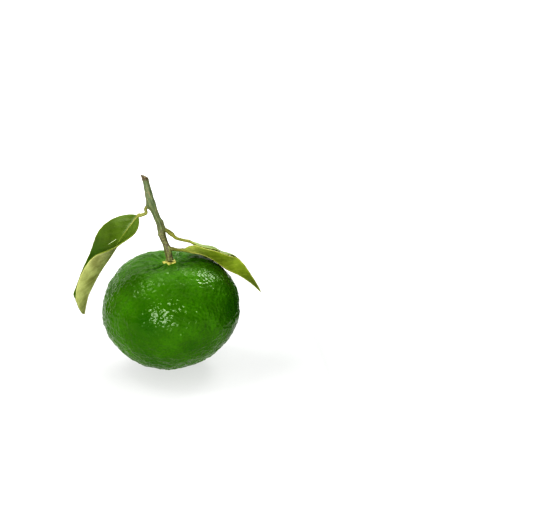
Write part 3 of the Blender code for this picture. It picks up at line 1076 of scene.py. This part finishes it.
@dataclass
class Leaf:
    """A citrus leaf: a thin blade folded along its midrib, and the petiole that carries it."""

    name: str
    node: str
    slot: Slot
    # Stations of the hidden root, the petiole and the midrib: point, turn of the blade, fold and
    # curl of its one half, fold and curl of the other, radius of the stalk.
    root: tuple[Row, ...]
    petiole: tuple[Row, ...]
    blade: tuple[Row, ...]
    # Half the blade's width, where it is widest, and how its ends are rounded.
    width: float
    peak: float
    base: Pair
    tip: Pair
    upper: LeafFinish
    under: LeafFinish
    thick: float = 0.42
    edge_wave: float = 0.2
    wave_count: float = 3.152
    notch_depth: float = 0.012
    # The least half-width, in the blade's first half and in its second.
    least_width: Pair = (0.5, 0.02)
    # The swells between the veins and how far from the midrib they start, and the midrib's groove.
    quilt: float = 0.1
    quilt_from: float = 1.5
    groove_depth: float = 0.14
    groove_width: float = 0.5
    # The petiole's swollen joint with the blade and its length, and its wrinkles.
    joint_swell: float = 0.12
    joint_length: float = 0.7
    wrinkle: float = 0.03
    # How far it sinks under the blade and over what length, how much thinner it is from there on,
    # and how much thinner again at the tip.
    sunk: float = 0.12
    sink_length: float = 3.0
    thinner: float = 0.15
    taper: float = 0.55
    # How fast the streaks of its skin change round it, and along it.
    grain: Pair = (0.7, 0.12)
    length_steps: int = 190
    width_steps: int = 44
    petiole_rings: int = 60
    midrib_rings: int = 90
    petiole_sides: int = 18
    # Share of the blade's length that the raised midrib runs along.
    midrib_share: float = 0.96

    def outline(self, share: Array) -> Array:
        """Half-width along the blade, as a share of its greatest.

        Args:
            share: Shares of the way from base to tip.

        Returns:
            The half-widths, 0 at both ends and 1 at the peak.
        """
        rising = np.clip((self.peak - share) / self.peak, 0, 1)
        falling = np.clip((share - self.peak) / (1 - self.peak), 0, 1)
        before = np.maximum(0.0, 1 - rising ** self.base[0]) ** (1 / self.base[1])
        after = np.maximum(0.0, 1 - falling ** self.tip[0]) ** (1 / self.tip[1])
        return np.where(share < self.peak, before, after)

    def build_blade(self) -> BMesh:
        """Shape a grid into the blade's middle surface and note each point's place on the leaf.

        Returns:
            The blade's middle surface, which a Solidify modifier thickens.
        """
        samples, lengths = curve_through(self.petiole + self.blade)
        joint = lengths[DENSE * len(self.petiole)]
        _, normals, sides = axis_frames(samples[:, :3], samples[:, 3])
        bm = bmesh.new()
        place = bm.verts.layers.float_vector.new("leaf_place")
        bmesh.ops.create_grid(bm, x_segments=self.length_steps, y_segments=self.width_steps, size=1.0)
        flat = np.array([vert.co for vert in bm.verts])
        even = (flat[:, 0] + 1) / 2
        # Steps get shorter towards both ends, where the outline turns fastest.
        share = 0.4 * even + 0.6 * (0.5 - 0.5 * np.cos(math.pi * even))
        v = -flat[:, 1]
        wanted = joint + (lengths[-1] - joint) * share
        rows = take(samples, lengths, wanted)
        normal = unit(take(normals, lengths, wanted))
        side = unit(take(sides, lengths, wanted))
        reach, hand = np.abs(v), np.where(v > 0, 1.0, -1.0)
        fold = np.radians(np.where(v > 0, rows[:, 6], rows[:, 4]))
        curl = np.radians(np.where(v > 0, rows[:, 7], rows[:, 5]))
        curl = np.where(np.abs(curl) > 1e-4, curl, 1e-4)
        run = wanted - joint
        least = np.where(share < 0.5, *self.least_width)
        half = np.maximum(self.width * self.outline(share), least)
        notches = np.abs(np.sin(math.pi * run / VEIN_SPACING + hand)) * np.minimum(1, half / 3)
        half = half * (1 + self.notch_depth * notches)
        off = reach * half
        tilt = fold + curl * reach
        across = (np.sin(tilt) - np.sin(fold)) / curl
        rise = -(np.cos(tilt) - np.cos(fold)) / curl
        outward = normal * np.cos(tilt)[:, None] - side * (hand * np.sin(tilt))[:, None]
        wave = (self.edge_wave * reach**2 * np.sin(math.tau * self.wave_count * share + 1.5 * hand)
                * np.sin(math.pi * share))
        vein = (run - off * (VEIN_SLANT + VEIN_BOW * off) + VEIN_SHIFT * hand) / VEIN_SPACING
        quilted = (self.quilt * np.abs(np.sin(math.pi * vein)) * (1 - reach**3)
                   * np.minimum(1, off / self.quilt_from))
        groove = -self.groove_depth * np.exp(-(off / self.groove_width) ** 2)
        spots = (rows[:, :3] + side * (hand * half * across)[:, None] + normal * (half * rise)[:, None]
                 + outward * (wave + quilted + groove)[:, None])
        for vert, spot, length, distance, portion in zip(bm.verts, spots, run, off * hand, reach):
            vert.co = spot
            vert[place] = Vector((length, distance, portion))
        bmesh.ops.remove_doubles(bm, verts=bm.verts[:], dist=0.01)
        return bm

    def build_petiole(self) -> BMesh:
        """Extrude the petiole out of the twig and on under the blade as its raised midrib.

        Returns:
            The tube's mesh in millimetres.
        """
        samples, lengths = curve_through(self.root + self.petiole + self.blade)
        joint = lengths[DENSE * (len(self.root) + len(self.petiole))]
        end = joint + self.midrib_share * (lengths[-1] - joint)
        wanted = np.concatenate([np.linspace(0, joint, self.petiole_rings, endpoint=False),
                                 np.linspace(joint, end, self.midrib_rings)])
        rows = take(samples, lengths, wanted)
        _, normals, sides = axis_frames(rows[:, :3], rows[:, 3])

        def place(ring: int, turn: float) -> Vector:
            """Place a vertex of the petiole's skin.

            Args:
                ring: Its ring, counted from the root.
                turn: Its turn round the petiole, in radians.

            Returns:
                Its spot, in millimetres.
            """
            normal, side, past = Vector(normals[ring]), Vector(sides[ring]), wanted[ring] - joint
            on_blade = min(1.0, max(0.0, past / self.sink_length))
            slim = 1 - self.taper * max(0.0, past / (lengths[-1] - joint))
            radius = rows[ring, 8] * slim * (1 - self.thinner * on_blade)
            swell = self.joint_swell * math.exp(-((past + 0.6) / self.joint_length) ** 2)
            radius += swell + self.wrinkle * noise.noise(ring_point(1.0, turn, 0.7 * wanted[ring]))
            sunk = on_blade * (self.sunk + 0.35 * radius)
            centre = Vector(rows[ring, :3]) - normal * float(sunk)
            return centre + (normal * math.cos(turn) + side * math.sin(turn)) * float(radius)

        bm = bmesh.new()
        sweep(bm, self.petiole_sides, wanted, place, self.grain)
        bmesh.ops.recalc_face_normals(bm, faces=bm.faces[:])
        return bm

    def dress(self, skins: dict[LeafFinish, Material], petiole_skin: Material) -> None:
        """Put blade and petiole in the scene in place of the leaf's CAD node.

        Args:
            skins: Materials of the leaf finishes that are made already.
            petiole_skin: Material of the petiole and of the midrib under the blade.
        """
        for finish in (self.upper, self.under):
            if finish not in skins:
                skins[finish] = finish.make()
        faces = [skins[self.upper], skins[self.under]]
        blade = put_in_scene(self.name + "_blade", self.build_blade(), faces, self.slot, self.node)
        wall = blade.modifiers.new("thickness", "SOLIDIFY")
        wall.thickness = self.thick * MM
        wall.offset = 0.0
        wall.material_offset = 1
        put_in_scene(self.name + "_petiole", self.build_petiole(), [petiole_skin], self.slot)


LEAVES = (
    Leaf(
        name="left_leaf", node="leaf_left", slot=Slot.DARK_LEAF,
        root=(
            (-7.2, -2.1, 72.6, 14, 0, 0, 0, 0, 0.7),
            (-8.2, -2.2, 71.8, 14, 0, 0, 0, 0, 0.72),
        ),
        petiole=(
            (-8.8, -2.3, 70.8, 14, 0, 0, 0, 0, 0.66),
            (-8.65, -2.5, 70.1, 14, 0, 0, 0, 0, 0.64),
            (-8.6, -2.7, 69.2, 14, 0, 0, 0, 0, 0.66),
            (-9.6, -2.8, 68.7, 14, 0, 0, 0, 0, 0.7),
            (-10.9, -2.9, 68.3, 14, 10, 5, -5, 5, 0.72),
        ),
        blade=(
            (-12.0, -3.0, 68.0, 14, 26, 20, -10, 10, 0.66),
            (-15.3, -4.0, 63.9, 18, 30, 25, -3, 12, 0.55),
            (-19.4, -5.0, 58.4, 32, 37, 33, 4, 16, 0.5),
            (-23.7, -5.0, 51.7, 55, 42, 39, 15, 20, 0.45),
            (-29.3, -5.0, 43.5, 70, 39, 37, 17, 20, 0.35),
            (-34.3, -4.5, 34.3, 76, 34, 32, 34, 22, 0.3),
            (-35.4, -4.35, 31.2, 77, 29, 28, 52, 27, 0.28),
            (-36.3, -4.15, 27.9, 79, 22, 20, 30, 20, 0.26),
            (-37.0, -4.0, 24.9, 80, 14, 12, 20, 14, 0.25),
        ),
        width=10.8, peak=0.38, base=(2.0, 1.5), tip=(2.2, 1.6), upper=DARK_UPPER, under=PALE_UNDER,
    ),
    Leaf(
        name="front_leaf", node="leaf_right_front", slot=Slot.PALE_LEAF,
        root=((0.6, -2.5, 53.8, -100, 0, 0, 0, 0, 0.9),),
        petiole=(
            (2.12, -2.55, 53.6, -100, 0, 0, 0, 0, 0.8),
            (3.13, -2.22, 53.35, -100, 0, 0, 0, 0, 0.66),
            (4.48, -1.28, 52.89, -100, 0, 0, 0, 0, 0.62),
            (5.52, -0.24, 52.58, -100, 0, 0, 10, 0, 0.65),
        ),
        blade=(
            (6.53, 0.42, 52.33, -100, 5, 10, 45, 18, 0.62),
            (9.85, 1.47, 51.26, -104, 5, 15, 33, 18, 0.52),
            (14.59, 1.66, 50.11, -105, 5, 20, 16, 18, 0.45),
            (19.68, 1.65, 47.46, -108, 5, 20, 20, 20, 0.4),
            (24.78, 2.24, 43.39, -110, 5, 20, 41, 20, 0.35),
            (30.39, 3.23, 40.24, -108, 10, 20, 26, 20, 0.3),
            (35.38, 4.01, 36.48, -104, 10, 20, 20, 16, 0.25),
            (39.45, 4.59, 32.42, -100, 10, 10, 16, 10, 0.2),
        ),
        width=7.6, peak=0.58, base=(2.6, 1.9), tip=(1.3, 1.0), upper=FRESH_UPPER, under=FRESH_UNDER,
    ),
    Leaf(
        name="back_leaf", node="leaf_right_back", slot=Slot.PALE_LEAF,
        root=((-1.4, -2.0, 62.2, -104, 0, 0, 0, 0, 0.8),),
        petiole=(
            (0.2, -1.65, 61.15, -104, 0, 0, 0, 0, 0.88),
            (0.75, -1.45, 60.6, -104, 0, 0, 0, 0, 0.94),
            (1.3, -1.2, 60.05, -104, 0, 0, 0, 0, 0.96),
            (1.9, -0.9, 59.5, -104, 0, 0, 0, 0, 0.98),
            (2.4, -0.7, 58.9, -104, 0, 0, 0, 0, 0.74),
            (3.54, 0.28, 57.58, -104, 0, 0, 0, 0, 0.68),
            (6.58, 2.16, 56.21, -104, 0, 0, 0, 0, 0.62),
        ),
        blade=(
            (8.73, 3.24, 55.46, -103, 2, 0, 2, 0, 0.56),
            (11.37, 5.01, 53.65, -103.6, 2, 2, 0, 2, 0.45),
            (14.65, 7.09, 52.1, -103.8, 2, 2, 0, 2, 0.4),
            (18.47, 8.88, 50.51, -103.5, 2, 2, 0, 2, 0.35),
            (22.31, 10.38, 48.6, -103, 2, 2, 0, 2, 0.3),
            (25.74, 11.67, 47.19, -104, 2, 2, 0, 2, 0.3),
            (28.37, 12.67, 45.47, -105, 2, 2, 0, 2, 0.25),
            (30.89, 13.67, 42.85, -105, 4, 2, 0, 2, 0.25),
            (33.11, 14.56, 39.83, -104, 6, 2, 0, 2, 0.2),
        ),
        width=7.0, peak=0.42, base=(2.0, 1.5), tip=(1.6, 1.1), upper=FRESH_UPPER, under=FRESH_UNDER,
    ),
)


@dataclass
class SoftBox:
    """One square studio light, aimed at the fruit."""

    name: str
    azimuth: float
    elevation: float
    distance: float
    width: float
    height: float
    power: float
    aim: Spot = (0.0, 0.0, 0.03)

    def place(self) -> None:
        """Put the light on its spot: azimuth 0 is the camera's side and 90 the right."""
        data = bpy.data.lights.new(self.name, "AREA")
        data.shape = "RECTANGLE"
        data.size = self.width
        data.size_y = self.height
        data.energy = self.power
        light = bpy.data.objects.new(self.name, data)
        way = Vector(heading(self.azimuth, self.elevation))
        light.location = Vector(self.aim) + way * self.distance
        light.rotation_euler = way.to_track_quat("Z", "Y").to_euler()
        bpy.context.scene.collection.objects.link(light)


@dataclass
class Studio:
    """White room, soft lights and the camera at the photograph's viewing angle."""

    camera_at: Spot = (0.04263, -0.33422, 0.14076)
    camera_down: float = 15.4
    lens: float = 54.37
    floor_size: float = 6.0
    # The room's bright side, how far the light comes round from it, and the light from dim to full.
    bright_side: Spot = (-0.15, 0.5, 0.85)
    room_reach: Pair = (0.05, 0.8)
    room_light: Pair = (0.05, 0.85)
    white: float = 1.05
    lights: tuple[SoftBox, ...] = (
        SoftBox("front_softbox", -3, 12, 0.9, 0.44, 0.34, 6.9),
        SoftBox("right_softbox", 147, 43, 1.0, 0.4, 0.3, 3.5),
        SoftBox("left_softbox", -104, 64, 1.0, 0.42, 0.3, 2.4),
    )
    # The card's two lower corners on the floor, and its height.
    card_from: Pair = (0.07, -0.02)
    card_to: Pair = (0.06, 0.09)
    card_height: float = 0.06
    acrylic: FloorFinish = FloorFinish()
    paper: CardFinish = CardFinish()

    def camera(self) -> None:
        """Create the camera and make it the scene's own."""
        data = bpy.data.cameras.new("camera")
        data.lens = self.lens
        data.sensor_width = 36.0
        data.clip_start = 0.01
        camera = bpy.data.objects.new("camera", data)
        camera.location = self.camera_at
        camera.rotation_euler = (math.radians(90 - self.camera_down), 0, 0)
        bpy.context.scene.collection.objects.link(camera)
        bpy.context.scene.camera = camera

    def floor(self) -> None:
        """Lay the pale floor."""
        bm = bmesh.new()
        bmesh.ops.create_grid(bm, x_segments=2, y_segments=2, size=self.floor_size / 2)
        add_object("floor", bm, self.acrylic.make())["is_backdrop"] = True

    def card(self) -> None:
        """Stand a dark card close to the fruit, which shades its right side and is mirrored in it."""
        bm = bmesh.new()
        bmesh.ops.create_grid(bm, x_segments=1, y_segments=1, size=1.0)
        start, end = Vector(self.card_from), Vector(self.card_to)
        for vert in bm.verts:
            share, height = (vert.co.x + 1) / 2, self.card_height * (vert.co.y + 1) / 2
            vert.co = (start + (end - start) * share).to_3d() + Vector((0, 0, height))
        card = add_object("flag", bm, self.paper.make())
        # It hides nothing when the part is seen from its side.
        card.visible_camera = False
        card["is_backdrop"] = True

    def surround(self) -> None:
        """Set up the white room: bright above and behind the fruit, dim on the camera's side."""
        world = bpy.data.worlds.new("studio")
        bpy.context.scene.world = world
        world.use_nodes = True
        tree = world.node_tree
        tree.nodes.clear()
        add = partial(add_node, tree)
        way = add("TexCoord", output="Generated")
        towards = add("VectorMath", way, self.bright_side, operation="DOT_PRODUCT", output="Value")
        power = add("MapRange", towards, *self.room_reach, *self.room_light)
        seen = add("LightPath", output="Is Camera Ray")
        chosen = add("Mix", seen, power, self.white, at=(0, 2, 3), data_type="FLOAT")
        light = add("Background", (1, 1, 1, 1), chosen)
        feed(tree.nodes.new("ShaderNodeOutputWorld"), {"Surface": light})

    def build(self) -> None:
        """Set up camera, floor, card, surround, lights and the picture's contrast."""
        self.camera()
        self.floor()
        self.card()
        self.surround()
        for light in self.lights:
            light.place()
        bpy.context.scene.view_settings.view_transform = "Standard"
        bpy.context.scene.view_settings.look = "Very High Contrast"


def main() -> None:
    """Load the frame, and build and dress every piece."""
    logging.basicConfig(level=logging.INFO, format="%(name)s %(message)s")
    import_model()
    cad_box = [list(corner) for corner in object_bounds()]
    Studio().build()
    peel, calyx, twig = Peel(), Calyx(), Twig()
    skin = peel.build()
    sepals = calyx.build(skin)
    peel.dress(skin)
    calyx.dress(sepals)
    twig.dress(twig.build())
    skins: dict[LeafFinish, Material] = {}
    petiole_skin = PetioleFinish().make()
    for leaf in LEAVES:
        leaf.dress(skins, petiole_skin)
    visual_box = [list(corner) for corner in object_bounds()]
    for name, box in (("cad", cad_box), ("visual", visual_box)):
        LOG.info("%s box %s", name, [[round(1000 * value, 2) for value in corner] for corner in box])


if __name__ == "__main__":
    main()
